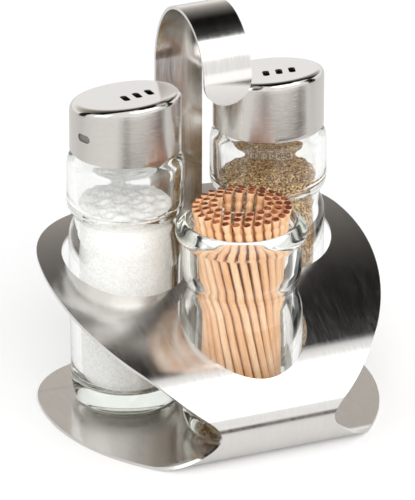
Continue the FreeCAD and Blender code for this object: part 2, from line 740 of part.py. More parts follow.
# The toothpick jar: wider, open, with a flared lip and the same drawn-in waist.
jar = new_body("toothpick_jar")
jar_profile = new_sketch(jar, "Profile", "XZ_Plane")
wall = "Sizes.jar_wall"
draw_outline(jar_profile, [
    ("0", "0"),
    ("Sizes.jar_foot_radius", "0"),
    ("Sizes.jar_low_radius", "Sizes.jar_low_height"),
    ("Sizes.jar_body_radius", "Sizes.jar_body_height"),
    ("Sizes.jar_waist_radius", "Sizes.jar_waist_height"),
    ("Sizes.jar_head_radius", "Sizes.jar_head_bottom"),
    ("Sizes.jar_head_radius", "Sizes.jar_head_top"),
    ("Sizes.jar_lip_radius", "Sizes.jar_lip_bottom"),
    ("Sizes.jar_lip_radius", "Sizes.jar_height"),
    ("Sizes.jar_head_radius - " + wall, "Sizes.jar_height"),
    ("Sizes.jar_head_radius - " + wall, "Sizes.jar_head_bottom"),
    ("Sizes.jar_waist_radius - " + wall, "Sizes.jar_waist_height"),
    ("Sizes.jar_body_radius - " + wall, "Sizes.jar_body_height"),
    ("Sizes.jar_low_radius - " + wall, "Sizes.glass_floor"),
    ("0", "Sizes.glass_floor"),
])
revolve(jar, jar_profile)
round_circles(jar, "SoftEdges", [
    (size("jar_foot_radius"), 0.0),
    (size("jar_body_radius"), size("jar_body_height")),
    (size("jar_waist_radius"), size("jar_waist_height")),
    (size("jar_head_radius"), size("jar_head_bottom")),
    (size("jar_lip_radius"), size("jar_lip_bottom")),
    (size("jar_lip_radius"), size("jar_height")),
], "Sizes.glass_round")
rotated_to(jar, 0, size("jar_axis_y"), thickness)


# The toothpicks: turned wood, pointed below, with two grooves below the flat end. They
# stand in three rings, each pick leaning the same way round, so no two of them meet.

def make_pick():
    radius = size("pick_radius")
    length = size("pick_length")
    groove = radius - size("pick_groove_depth")
    half_groove = size("pick_groove_width") / 2
    pitch = size("pick_groove_pitch")
    points = [Vector(0, 0, 0), Vector(radius, 0, size("pick_point_length"))]
    for middle in (length - 2 * pitch, length - pitch):
        points.append(Vector(radius, 0, middle - half_groove))
        points.append(Vector(groove, 0, middle))
        points.append(Vector(radius, 0, middle + half_groove))
    points += [Vector(radius, 0, length), Vector(0, 0, length), Vector(0, 0, 0)]
    face = Part.Face(Part.makePolygon(points))
    return face.revolve(Vector(0, 0, 0), Vector(0, 0, 1), 360)


pick_foot = thickness + size("glass_floor") + size("pick_gap")


def pick_in_ring(index, count, top_radius, foot_radius):
    """One pick of a ring: its foot on one circle and its head on another, twisted round."""
    bearing = 270.0 - 360.0 * index / count
    foot_at = side_of(bearing + size("pick_twist") / 2) * foot_radius
    head_at = side_of(bearing - size("pick_twist") / 2) * top_radius
    run = head_at - foot_at
    rise = math.sqrt(size("pick_length") ** 2 - run.Length ** 2)
    lean = Rotation(Vector(0, 0, 1), Vector(run.x, run.y, rise))
    place = Vector(foot_at.x, foot_at.y + size("jar_axis_y"), pick_foot)
    pick = make_pick()
    pick.Placement = Placement(place, lean)
    return pick


rings = [
    (int(size("outer_pick_count")), size("outer_pick_top"), size("outer_pick_foot")),
    (int(size("inner_pick_count")), size("inner_pick_top"), size("inner_pick_foot")),
    (int(size("core_pick_count")), size("core_pick_top"), size("core_pick_foot")),
]
picks = [
    pick_in_ring(index, count, top_radius, foot_radius)
    for count, top_radius, foot_radius in rings
    for index in range(count)
]
loose_pick = doc.addObject("Part::Feature", "loose_toothpick")
loose_pick.Shape = picks[0]
bundle = doc.addObject("Part::Feature", "toothpicks")
bundle.Shape = Part.makeCompound(picks[1:])
doc.recompute()

node_names = [
    "stand_sheet",
    "salt_jar", "salt_fill", "salt_insert", "salt_sieve", "salt_cap",
    "pepper_jar", "pepper_fill", "pepper_insert", "pepper_sieve", "pepper_cap",
    "toothpick_jar", "toothpicks", "loose_toothpick",
]
for item in doc.Objects:
    if "Invalid" in item.State or "Error" in item.State:
        raise RuntimeError("failed object " + item.Name)
os.makedirs("parts", exist_ok=True)
for name in node_names:
    shape = doc.getObject(name).Shape
    if shape.isNull() or not shape.isValid() or shape.Volume <= 0:
        raise RuntimeError("bad shape " + name)
    shape.exportStep("parts/" + name + ".step")
    box = shape.BoundBox
    print(name, len(shape.Solids), round(shape.Volume, 1), [round(v, 1) for v in (
        box.XMin, box.YMin, box.ZMin, box.XMax, box.YMax, box.ZMax)])
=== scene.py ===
import math

import bmesh
import bpy
import numpy as np
from mathutils import Matrix, Vector


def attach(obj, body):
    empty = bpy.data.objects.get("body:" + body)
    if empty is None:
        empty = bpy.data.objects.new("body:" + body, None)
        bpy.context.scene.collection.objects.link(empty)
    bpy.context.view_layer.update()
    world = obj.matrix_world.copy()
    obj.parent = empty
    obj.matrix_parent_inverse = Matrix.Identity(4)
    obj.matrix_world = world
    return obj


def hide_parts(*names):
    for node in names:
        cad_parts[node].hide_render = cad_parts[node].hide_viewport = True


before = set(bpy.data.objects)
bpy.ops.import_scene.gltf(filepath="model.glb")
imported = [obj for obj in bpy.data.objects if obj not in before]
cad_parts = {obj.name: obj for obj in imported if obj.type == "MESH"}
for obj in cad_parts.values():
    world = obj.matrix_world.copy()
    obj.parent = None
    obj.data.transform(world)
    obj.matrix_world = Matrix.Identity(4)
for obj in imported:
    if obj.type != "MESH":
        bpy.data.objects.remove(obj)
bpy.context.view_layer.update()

# The camera. A long lens 2.1 m away, 25 degrees above the table and 24 degrees round to the
# left of the front, so that the salt shaker stands nearest on the left.
camera_azimuth = math.radians(-23.8)
camera_elevation = math.radians(24.79)
camera_roll = math.radians(0.12)
camera_distance = 2.1
focal_pixels = 7074.2
frame_width, frame_height = 415, 500
aim_point = Vector((0, 0, 0.05))
aim_pixel = (196.96, 231.17)

outwards = Vector((
    math.sin(camera_azimuth) * math.cos(camera_elevation),
    -math.cos(camera_azimuth) * math.cos(camera_elevation),
    math.sin(camera_elevation),
))
level = Vector((math.cos(camera_azimuth), math.sin(camera_azimuth), 0))
upright = outwards.cross(level)
rightwards = level * math.cos(camera_roll) + upright * math.sin(camera_roll)
upwards = upright * math.cos(camera_roll) - level * math.sin(camera_roll)
aim_right = (aim_pixel[0] - frame_width / 2) / focal_pixels * camera_distance
aim_up = -(aim_pixel[1] - frame_height / 2) / focal_pixels * camera_distance
eye = aim_point + outwards * camera_distance - rightwards * aim_right - upwards * aim_up

camera_data = bpy.data.cameras.new("camera")
camera_data.sensor_fit = "HORIZONTAL"
camera_data.sensor_width = 36
camera_data.lens = focal_pixels / frame_width * camera_data.sensor_width
camera_data.clip_end = 20
camera = bpy.data.objects.new("camera", camera_data)
camera.matrix_world = Matrix.Translation(eye) @ Matrix(
    (rightwards, upwards, outwards)
).transposed().to_4x4()
bpy.context.scene.collection.objects.link(camera)
bpy.context.scene.camera = camera

# The table and the light. A matt white table and white walls, wide soft lights in front and on
# the left, a grey ceiling over the back, and cards in black, brown and white that only
# reflections see.


def linear(hex_colour):
    """sRGB hex to the linear colour that a shader takes."""
    channels = np.array([int(hex_colour[i:i + 2], 16) for i in (0, 2, 4)]) / 255
    low = channels / 12.92
    high = ((channels + 0.055) / 1.055) ** 2.4
    return (*np.where(channels <= 0.04045, low, high).tolist(), 1.0)


def node(material, kind, settings=None, inputs=None, links=None):
    """Adds one shader node, with its settings, its socket values and the links into it."""
    made = material.node_tree.nodes.new(kind)
    for key, value in (settings or {}).items():
        setattr(made, key, value)
    for key, value in (inputs or {}).items():
        made.inputs[key].default_value = value
    for key, source in (links or {}).items():
        material.node_tree.links.new(source, made.inputs[key])
    return made


def new_material(name):
    """Empty node material, to be filled with node."""
    material = bpy.data.materials.new(name)
    material.use_nodes = True
    material.node_tree.nodes.clear()
    return material


def new_mesh_object(name, points, faces):
    """Object at the origin from points in millimetres and faces as lists of point numbers."""
    mesh = bpy.data.meshes.new(name)
    mesh.from_pydata((np.asarray(points) * 0.001).tolist(), [], faces)
    mesh.update()
    made = bpy.data.objects.new(name, mesh)
    bpy.context.scene.collection.objects.link(made)
    return made


table_material = new_material("white lacquered table top")
shade = node(table_material, "ShaderNodeBsdfPrincipled", inputs={
    "Base Color": linear("E9E9E9"), "Roughness": 0.6, "Specular IOR Level": 0.2})
path = node(table_material, "ShaderNodeLightPath")
seen = node(table_material, "ShaderNodeMath", {"operation": "MAXIMUM"},
            links={0: path.outputs["Is Camera Ray"], 1: path.outputs["Is Transmission Ray"]})
lift = node(table_material, "ShaderNodeMath", {"operation": "MULTIPLY"}, {1: 0.22},
            {0: seen.outputs[0]})
glow = node(table_material, "ShaderNodeEmission", inputs={"Color": (1, 1, 1, 1)},
            links={"Strength": lift.outputs[0]})
both = node(table_material, "ShaderNodeAddShader", links={0: shade.outputs[0], 1: glow.outputs[0]})
node(table_material, "ShaderNodeOutputMaterial", links={"Surface": both.outputs[0]})
table = new_mesh_object("table_top", [
    (-3000, -3000, -0.05), (3000, -3000, -0.05), (3000, 3000, -0.05), (-3000, 3000, -0.05)],
    [(0, 1, 2, 3)])
table.data.materials.append(table_material)

world = bpy.data.worlds.new("studio")
world.use_nodes = True
bpy.context.scene.world = world
world.node_tree.nodes.clear()
path = node(world, "ShaderNodeLightPath")
seen = node(world, "ShaderNodeMath", {"operation": "MAXIMUM"},
            links={0: path.outputs["Is Camera Ray"], 1: path.outputs["Is Transmission Ray"]})
seen_or_mirrored = node(world, "ShaderNodeMath", {"operation": "MAXIMUM"},
                        links={0: seen.outputs[0], 1: path.outputs["Is Glossy Ray"]})
strength = node(world, "ShaderNodeMath", {"operation": "MULTIPLY_ADD"}, {1: 0.25, 2: 0.75},
                {0: seen_or_mirrored.outputs[0]})
sky = node(world, "ShaderNodeBackground", inputs={"Color": (1, 1, 1, 1)},
           links={"Strength": strength.outputs[0]})
node(world, "ShaderNodeOutputWorld", links={"Surface": sky.outputs[0]})


def soft_light(name, centre, look_at, width, height, brightness):
    """Flat lamp whose own surface has the given brightness, where 1 is white."""
    lamp = bpy.data.lights.new(name, "AREA")
    lamp.shape = "RECTANGLE"
    lamp.size = width
    lamp.size_y = height
    lamp.energy = brightness * math.pi * width * height
    made = bpy.data.objects.new(name, lamp)
    facing = Vector(look_at) - Vector(centre)
    made.rotation_euler = facing.to_track_quat("-Z", "Y").to_euler()
    made.location = centre
    made.visible_camera = False
    bpy.context.scene.collection.objects.link(made)
    return made


soft_light("front_light", (0.35, -1.02, 1.15), (0, 0, 0.05), 1.5, 1.15, 1.25)
soft_light("left_light", (-1.5, -0.3, 0.7), (0, 0, 0.05), 0.9, 0.9, 0.9)
fill = soft_light("fill_light", (-0.5, -1.3, 0.9), (0, 0, 0.05), 0.8, 0.8, 4.5)
fill.visible_glossy = False
fill.visible_transmission = False


def glowing_card(name, colour, strength):
    """Card of one even brightness, where a strength of 1 shows its colour as it is."""
    material = new_material(name)
    glow = node(material, "ShaderNodeEmission",
                inputs={"Color": linear(colour), "Strength": strength})
    node(material, "ShaderNodeOutputMaterial", links={"Surface": glow.outputs[0]})
    return material


def mirrored_sheet(name, material, corners):
    """Card with four corners in millimetres. Only metal and glass mirror it: it throws no
    light, casts no shadow and isn't seen straight on or through glass."""
    made = new_mesh_object(name, corners, [(0, 1, 2, 3)])
    made.data.materials.append(material)
    made.visible_camera = False
    made.visible_diffuse = False
    made.visible_transmission = False
    made.visible_shadow = False


def upright_card(name, material, centre, look_at, width, height):
    """Mirrored sheet that stands at a place, in metres, and faces a point."""
    facing = (Vector(look_at) - Vector(centre)).normalized()
    across = facing.cross(Vector((0, 0, 1))).normalized()
    up = across.cross(facing).normalized()
    mirrored_sheet(name, material, [
        (Vector(centre) + across * (width / 2 * i) + up * (height / 2 * j)) * 1000
        for i, j in ((-1, -1), (1, -1), (1, 1), (-1, 1))
    ])


# The ceiling is black over the set and turns to pale grey towards the back wall.
ceiling_grey = new_material("grey ceiling card")
place = node(ceiling_grey, "ShaderNodeTexCoord")
parts = node(ceiling_grey, "ShaderNodeSeparateXYZ", links={0: place.outputs["Object"]})
reach = node(ceiling_grey, "ShaderNodeMapRange", inputs={"From Min": 0.35, "From Max": 1.9},
             links={"Value": parts.outputs["Y"]})
curve = node(ceiling_grey, "ShaderNodeMath", {"operation": "POWER"}, {1: 1.15}, {0: reach.outputs[0]})
brightness = node(ceiling_grey, "ShaderNodeMath", {"operation": "MULTIPLY_ADD"}, {1: 0.92, 2: 0.002},
                  {0: curve.outputs[0]})
dull = node(ceiling_grey, "ShaderNodeEmission", inputs={"Color": linear("FFF8F0")},
            links={"Strength": brightness.outputs[0]})
node(ceiling_grey, "ShaderNodeOutputMaterial", links={"Surface": dull.outputs[0]})
mirrored_sheet("ceiling_card", ceiling_grey, [
    (-1400, -50, 1100), (2000, -50, 1100), (2000, 2000, 550), (-1400, 2000, 550)])

black_velvet = glowing_card("black velvet card", "0B0A0A", 1.0)
mirrored_sheet("black_card_over_hook", black_velvet, [
    (-15, -58.5, 200), (70, -58.5, 200), (70, 5, 200), (-15, 5, 200)])
upright_card("left_black_card", black_velvet, (-0.34, 0.20, 0.16), (0, 0, 0.08), 0.14, 0.34)
upright_card("right_black_card", black_velvet, (0.36, -0.10, 0.16), (0, 0, 0.08), 0.14, 0.34)
mirrored_sheet("brown_card_in_front", glowing_card("brown paper card", "4A3328", 0.8), [
    (-120, -103, 0.5), (220, -103, 0.5), (220, -222, 0.5), (-120, -222, 0.5)])
mirrored_sheet("white_card_in_front", glowing_card("white paper card", "FFFFFF", 1.4), [
    (-90, -222, 1), (220, -222, 1), (900, -1300, 1), (-200, -1500, 1)])

# The stand. One sheet of 1 mm stainless steel, cut, bent round the front and curled into a
# hook handle. Its grain runs along the strip; the satin finish smears a reflection across it.
sheet_gauge = 1.0
bend_radius, ramp_radius, plate_radius = 12.0, 31.5, 189.0
bend_end, ramp_end = 150.0, 117.0
strap_back, strap_top, foot_radius = 14.4, 101.0, 3.0
hook_rear_radius, hook_crown_radius, hook_rear_end = 27.0, 17.3, 40.0


def spoke_at(degrees):
    """Unit step in the side view, as y and z, turned up from the y axis."""
    return np.array([math.cos(math.radians(degrees)), math.sin(math.radians(degrees))])


# Where one arc runs on into the next, both centres lie on the spoke that they share.
bend_centre = np.array([-47.7, bend_radius])
ramp_centre = bend_centre + spoke_at(bend_end) * (bend_radius - ramp_radius)
plate_centre = ramp_centre + spoke_at(ramp_end) * (ramp_radius - plate_radius)
foot_centre = np.array([strap_back - foot_radius, foot_radius])
rear_centre = np.array([strap_back - hook_rear_radius, strap_top])
crown_centre = rear_centre + spoke_at(hook_rear_end) * (hook_rear_radius - hook_crown_radius)
sheet_arcs = [
    (*bend_centre, bend_radius),
    (*ramp_centre, ramp_radius),
    (*plate_centre, plate_radius),
    (*foot_centre, foot_radius),
    (*rear_centre, hook_rear_radius),
    (*crown_centre, hook_crown_radius),
]


def smooth_sheet_normals(mesh):
    """Gives each corner on a bent face the true normal of its arc: it points from the arc's
    centre through the corner. A corner on a flat or cut face keeps the face's own normal."""
    count = len(mesh.loops)
    corner = np.empty(count, np.int32)
    mesh.loops.foreach_get("vertex_index", corner)
    place = np.empty(len(mesh.vertices) * 3)
    mesh.vertices.foreach_get("co", place)
    place = place.reshape(-1, 3)[corner] * 1000
    own = np.empty(len(mesh.polygons) * 3)
    mesh.polygons.foreach_get("normal", own)
    sides = np.empty(len(mesh.polygons), np.int32)
    mesh.polygons.foreach_get("loop_total", sides)
    own = np.repeat(own.reshape(-1, 3), sides, axis=0)
    best = np.full(count, 0.97)
    chosen = own.copy()
    for centre_y, centre_z, radius in sheet_arcs:
        spoke = np.stack([np.zeros(count), place[:, 1] - centre_y, place[:, 2] - centre_z], 1)
        reach = np.linalg.norm(spoke, axis=1)
        off = np.minimum(abs(reach - radius), abs(reach - radius + sheet_gauge))
        spoke /= reach[:, None]
        along = (spoke * own).sum(1)
        better = (off < 0.03) & (abs(along) > best)
        chosen[better] = spoke[better] * np.sign(along[better])[:, None]
        best[better] = abs(along[better])
    mesh.shade_smooth()
    mesh.normals_split_custom_set(chosen.tolist())


def merged_copy(source, name):
    """The CAD node's own shape as one closed mesh, for a smooth finish."""
    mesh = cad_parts[source].data.copy()
    mesh.name = name
    shape = bmesh.new()
    shape.from_mesh(mesh)
    bmesh.ops.remove_doubles(shape, verts=shape.verts, dist=2e-6)
    shape.to_mesh(mesh)
    shape.free()
    mesh.materials.clear()
    made = bpy.data.objects.new(name, mesh)
    bpy.context.scene.collection.objects.link(made)
    return made


def brushed_steel(name, colour, rough, smear, brush_scale, tangent_axis):
    """Satin stainless steel: scratches along one direction vary the gloss, the tint and the
    bump, and smear what the metal mirrors. The brush scale is scratches per millimetre along
    x, y and z, coarser than the real ones, which would be too fine to show. Where they run
    round the z axis, the smear is turned by a quarter."""
    material = new_material(name)
    place = node(material, "ShaderNodeTexCoord")
    stretch = node(material, "ShaderNodeMapping", inputs={"Scale": brush_scale},
                   links={"Vector": place.outputs["Object"]})
    lines = node(material, "ShaderNodeTexNoise",
                 inputs={"Scale": 1000.0, "Detail": 4.0, "Roughness": 0.6},
                 links={"Vector": stretch.outputs[0]})
    cloud = node(material, "ShaderNodeTexNoise", inputs={"Scale": 60.0, "Detail": 2.0},
                 links={"Vector": place.outputs["Object"]})
    gloss = node(material, "ShaderNodeMapRange",
                 inputs={"From Min": 0.3, "From Max": 0.7,
                         "To Min": rough * 0.75, "To Max": rough * 1.25},
                 links={"Value": lines.outputs["Fac"]})
    cloudy = node(material, "ShaderNodeMath", {"operation": "MULTIPLY_ADD"}, {1: 0.06},
                  {0: cloud.outputs["Fac"], 2: gloss.outputs[0]})
    tint = node(material, "ShaderNodeMixRGB",
                inputs={"Color1": linear(colour[0]), "Color2": linear(colour[1])},
                links={"Fac": lines.outputs["Fac"]})
    relief = node(material, "ShaderNodeBump", inputs={"Strength": 0.12, "Distance": 0.00004},
                  links={"Height": lines.outputs["Fac"]})
    grain = node(material, "ShaderNodeTangent", {"direction_type": "RADIAL", "axis": tangent_axis})
    metal = node(material, "ShaderNodeBsdfPrincipled",
                 inputs={"Metallic": 1.0, "Anisotropic": smear,
                         "Anisotropic Rotation": 0.25 if tangent_axis == "Z" else 0.0},
                 links={"Base Color": tint.outputs[0], "Roughness": cloudy.outputs[0],
                        "Normal": relief.outputs[0], "Tangent": grain.outputs[0]})
    node(material, "ShaderNodeOutputMaterial", links={"Surface": metal.outputs[0]})
    return material


def circle_through(one, two, three):
    """Centre and radius of the circle through three points in the plan."""
    (ax, ay), (bx, by), (cx, cy) = one, two, three
    twice = 2 * (ax * (by - cy) + bx * (cy - ay) + cx * (ay - by))
    a_square, b_square, c_square = ax * ax + ay * ay, bx * bx + by * by, cx * cx + cy * cy
    x = (a_square * (by - cy) + b_square * (cy - ay) + c_square * (ay - by)) / twice
    y = (a_square * (cx - bx) + b_square * (ax - cx) + c_square * (bx - ax)) / twice
    return x, y, math.hypot(ax - x, ay - y)


def square_edges(mesh):
    """Makes the cut edge square to the metal on the bend and the ramp. Each corner on the inner
    side of an arc moves across until its half width is the outline's at the point straight out
    from it on the outer side; then the edge is filled again from the inner to the outer side.
    The outline is the side arc and then the flare, a circle through three points."""
    count = len(mesh.vertices)
    place = np.empty(count * 3)
    mesh.vertices.foreach_get("co", place)
    place = place.reshape(-1, 3) * 1000
    side_x, side_y, side_radius = -11.176, -8.0, 61.5
    flare_from = -51.8
    flare_x, flare_y, flare_radius = circle_through(
        (32.0, flare_from), (22.25, -58.28), (18.0, -59.7))
    edge_slack, arc_slack = 0.4, 0.03

    def half_width(y):
        side = side_x + np.sqrt(side_radius ** 2 - (y - side_y) ** 2)
        flare = flare_x + np.sqrt(np.maximum(flare_radius ** 2 - (y - flare_y) ** 2, 0))
        return np.where(y > flare_from, side, flare)

    on_edge = abs(abs(place[:, 0]) - half_width(place[:, 1])) < edge_slack
    face_of = np.zeros(count, int)
    across = place[:, 0].copy()
    inner_meeting = ramp_centre[1] + (ramp_radius - sheet_gauge) * spoke_at(bend_end)[1]
    outer_meeting = ramp_centre[1] + ramp_radius * spoke_at(bend_end)[1]
    spans = ((-1.0, outer_meeting + 0.1), (inner_meeting - 0.1, 40.0))
    for (centre_y, centre_z, radius), (low, high) in zip(sheet_arcs[:2], spans):
        spoke_y, spoke_z = place[:, 1] - centre_y, place[:, 2] - centre_z
        reach = np.hypot(spoke_y, spoke_z)
        bent = on_edge & (spoke_y < 0.01) & (place[:, 2] > low) & (place[:, 2] < high)
        inner = bent & (abs(reach - radius + sheet_gauge) < arc_slack) & (face_of == 0)
        outer = bent & (abs(reach - radius) < arc_slack) & (face_of == 0)
        outer_y = centre_y + spoke_y / np.maximum(reach, 1e-6) * radius
        across = np.where(inner, np.sign(place[:, 0]) * half_width(outer_y), across)
        face_of = np.where(inner, 1, np.where(outer, 2, face_of))
    shape = bmesh.new()
    shape.from_mesh(mesh)
    shape.verts.ensure_lookup_table()
    bmesh.ops.delete(shape, context="FACES_ONLY", geom=[
        face for face in shape.faces
        if abs(face.normal.x) > 0.05 and all(face_of[corner.index] for corner in face.verts)])
    for index in np.nonzero(across != place[:, 0])[0]:
        shape.verts[index].co.x = across[index] * 0.001
    wires = [edge for edge in shape.edges if not edge.link_faces]
    for side in (-1, 1):
        rims = [edge for edge in shape.edges if len(edge.link_faces) == 1
                and face_of[edge.verts[0].index] == face_of[edge.verts[1].index]
                and edge.verts[0].co.x * side > 0]
        bmesh.ops.bridge_loops(shape, edges=rims)
    bmesh.ops.delete(shape, context="EDGES", geom=[edge for edge in wires if not edge.link_faces])
    bmesh.ops.recalc_face_normals(shape, faces=shape.faces)
    shape.to_mesh(mesh)
    shape.free()


sheet_steel = brushed_steel("satin brushed stainless sheet", ("D8D5D1", "ECEAE7"), 0.15, 0.3,
                            (2.2, 0.12, 0.12), "X")
stand = merged_copy("stand_sheet", "bent_stand")
square_edges(stand.data)
smooth_sheet_normals(stand.data)
stand.data.materials.append(sheet_steel)
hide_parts("stand_sheet")
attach(stand, "stand")

# The glass jars. Pressed soda glass with thick walls and floors, a drawn-in waist and fire
# polished edges; the heavy floors look slightly green.


def ring_faces(rows, turns):
    """Four-sided faces between neighbouring points of a grid that closes on itself across."""
    row, column = np.meshgrid(np.arange(rows - 1), np.arange(turns), indexing="ij")
    beside = (column + 1) % turns
    return np.stack([row * turns + column, row * turns + beside,
                     (row + 1) * turns + beside, (row + 1) * turns + column], -1).reshape(-1, 4)


def close_poles(mesh):
    """Merges the points that lie on one another and turns every face outwards."""
    shape = bmesh.new()
    shape.from_mesh(mesh)
    bmesh.ops.remove_doubles(shape, verts=shape.verts, dist=1e-7)
    bmesh.ops.recalc_face_normals(shape, faces=shape.faces)
    shape.to_mesh(mesh)
    shape.free()


def turned_solid(name, centre, profile, turns=128, soften=3):
    """Solid of revolution. The profile is radius and height from the axis round to the axis;
    its corners are cut off at a quarter and three quarters of each run, again and again, and
    the result is swept round: x = r cos a, y = r sin a."""
    line = np.asarray(profile, float)
    for _ in range(soften):
        ahead = np.roll(line, -1, axis=0)[:-1]
        here = line[:-1]
        cut = np.stack([here * 0.75 + ahead * 0.25, here * 0.25 + ahead * 0.75], 1).reshape(-1, 2)
        line = np.concatenate([line[:1], cut, line[-1:]])
    angle = np.linspace(0, 2 * math.pi, turns, endpoint=False)
    points = np.stack([
        centre[0] + line[:, :1] * np.cos(angle),
        centre[1] + line[:, :1] * np.sin(angle),
        np.repeat(line[:, 1:] + centre[2], turns, axis=1),
    ], -1).reshape(-1, 3)
    made = new_mesh_object(name, points, ring_faces(len(line), turns).tolist())
    close_poles(made.data)
    made.data.shade_smooth()
    return made


def clear_glass(name, colour):
    """Pressed glass: smooth, a little wavy, and coloured only where it is thick. Shadows and
    soft light pass straight through. So does a ray that was mirrored inside the glass more
    than twice, which keeps the rims clear."""
    material = new_material(name)
    place = node(material, "ShaderNodeTexCoord")
    wave = node(material, "ShaderNodeTexNoise", inputs={"Scale": 45.0, "Detail": 1.0},
                links={"Vector": place.outputs["Object"]})
    relief = node(material, "ShaderNodeBump", inputs={"Strength": 0.10, "Distance": 0.0006},
                  links={"Height": wave.outputs["Fac"]})
    glass = node(material, "ShaderNodeBsdfPrincipled",
                 inputs={"Base Color": (1, 1, 1, 1), "Roughness": 0.0, "IOR": 1.5,
                         "Transmission Weight": 1.0},
                 links={"Normal": relief.outputs[0]})
    tint = node(material, "ShaderNodeVolumeAbsorption",
                inputs={"Color": linear(colour), "Density": 10.0})
    path = node(material, "ShaderNodeLightPath")
    unlit = node(material, "ShaderNodeMath", {"operation": "MAXIMUM"},
                 links={0: path.outputs["Is Shadow Ray"], 1: path.outputs["Is Diffuse Ray"]})
    lit_through = node(material, "ShaderNodeBsdfTransparent",
                       inputs={"Color": (0.99, 0.99, 0.985, 1)})
    deep = node(material, "ShaderNodeMath", {"operation": "GREATER_THAN"}, {1: 2.5},
                {0: path.outputs["Glossy Depth"]})
    either = node(material, "ShaderNodeMath", {"operation": "MAXIMUM"},
                  links={0: unlit.outputs[0], 1: deep.outputs[0]})
    lets_light_in = node(material, "ShaderNodeMixShader",
                         links={0: either.outputs[0], 1: glass.outputs[0], 2: lit_through.outputs[0]})
    node(material, "ShaderNodeOutputMaterial",
         links={"Surface": lets_light_in.outputs[0], "Volume": tint.outputs[0]})
    return material


jar_glass = clear_glass("pressed soda glass", "C9DCC0")
shaker_outline = [
    (0, 1.0), (10.5, 0.9), (12.3, 0.0), (14.6, 0.0), (15.4, 1.2), (16.2, 4.5), (16.4, 8), (16.7, 30),
    (17.0, 50), (16.9, 53.2), (16.3, 55.6), (15.2, 57.6), (15.0, 58.8), (15.4, 60.0), (16.8, 61.4),
    (17.35, 63.0), (17.4, 65), (17.4, 74), (17.3, 77.0), (16.4, 78.6), (14.5, 79.5), (13.95, 80.2),
    (13.9, 81), (13.9, 84.5), (13.7, 84.9),
    (12.6, 84.9), (12.2, 84.6), (12.0, 83), (11.9, 80.5), (12.3, 78.8), (13.6, 77.2), (14.3, 75.5),
    (14.4, 73), (14.4, 66), (14.2, 63.6), (13.2, 61.6), (12.5, 60.2), (12.2, 58.8), (12.5, 57.4),
    (13.4, 55.4), (13.9, 53), (14.0, 50), (13.7, 30), (13.4, 12), (13.1, 8.0), (11.6, 5.6), (8, 4.9),
    (0, 4.6),
]
shaker_offset, jar_axis_y = 23.0, -32.5
for name, across in (("salt", -shaker_offset), ("pepper", shaker_offset)):
    jar = turned_solid(name + "_glass", (across, 0, sheet_gauge), shaker_outline)
    jar.data.materials.append(jar_glass)
    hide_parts(name + "_jar")
    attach(jar, name + "_shaker")

toothpick_outline = [
    (0, 1.1), (10.5, 1.0), (12.3, 0.0), (14.8, 0.0), (16.1, 1.2), (17.2, 4.5), (17.5, 8), (17.9, 24),
    (18.1, 34), (18.0, 38.5), (17.3, 41.5), (16.0, 43.9), (15.6, 45.3), (15.8, 46.6), (17.0, 48.4),
    (17.7, 50.6), (17.8, 53), (17.8, 59.0), (17.8, 60.4), (17.85, 60.7), (18.6, 61.1), (19.35, 62.0),
    (19.5, 63.2), (19.2, 64.2), (17.6, 65.6), (16.7, 66.3), (16.2, 66.5), (15.7, 66.3), (15.4, 65.4),
    (15.2, 62), (15.2, 53), (15.0, 50.4), (14.0, 48.0), (13.2, 46.2), (13.1, 45.2), (13.4, 43.8),
    (14.8, 41.0), (15.4, 38.2), (15.5, 34), (15.3, 24), (15.0, 10), (14.6, 7.0), (12.8, 5.2),
    (8, 4.8), (0, 4.6),
]
toothpick_glass = turned_solid("toothpick_glass", (0, jar_axis_y, sheet_gauge), toothpick_outline)
toothpick_glass.data.materials.append(jar_glass)
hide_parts("toothpick_jar")
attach(toothpick_glass, "toothpick_holder")

# The salt and the pepper. Loose grains that fill each shaker to just above its waist and
# lie in a low uneven mound.


def heaped(name, centre, wall, edge_height, lean, seed, turns=160, rings=60):
    """Filling with a rough top. The wall is swept round; the top is a disc whose height is a
    plane that leans, plus a low dome, plus sine waves of falling size in random directions."""
    dome, wave_share = 1.3, 0.028
    random = np.random.default_rng(seed)
    angle = np.linspace(0, 2 * math.pi, turns, endpoint=False)
    wall = np.asarray(wall, float)
    side_r = np.repeat(wall[:, :1], turns, axis=1)
    side_z = np.repeat(wall[:, 1:], turns, axis=1)
    share = np.linspace(1, 0, rings)[:, None]
    disc_r = wall[-1, 0] * np.repeat(share, turns, axis=1)
    x, y = disc_r * np.cos(angle), disc_r * np.sin(angle)
    top = edge_height + lean[0] * x + lean[1] * y + dome * (1 - share ** 2)
    for size in (5.0, 2.6, 1.3, 0.7):
        for _ in range(5):
            way = random.uniform(0, 2 * math.pi)
            phase = random.uniform(0, 2 * math.pi)
            run = x * math.cos(way) + y * math.sin(way)
            top = top + wave_share * size * np.sin(run * 6.28 / size + phase)
    near_wall = side_z > edge_height - 0.01
    side_z = np.where(near_wall, top[:1], side_z)
    radius = np.concatenate([side_r, disc_r[1:]])
    height = np.concatenate([side_z, top[1:]])
    points = np.stack([centre[0] + radius * np.cos(angle), centre[1] + radius * np.sin(angle),
                       centre[2] + height], -1).reshape(-1, 3)
    made = new_mesh_object(name, points, ring_faces(len(radius), turns).tolist())
    close_poles(made.data)
    made.data.shade_smooth()
    return made


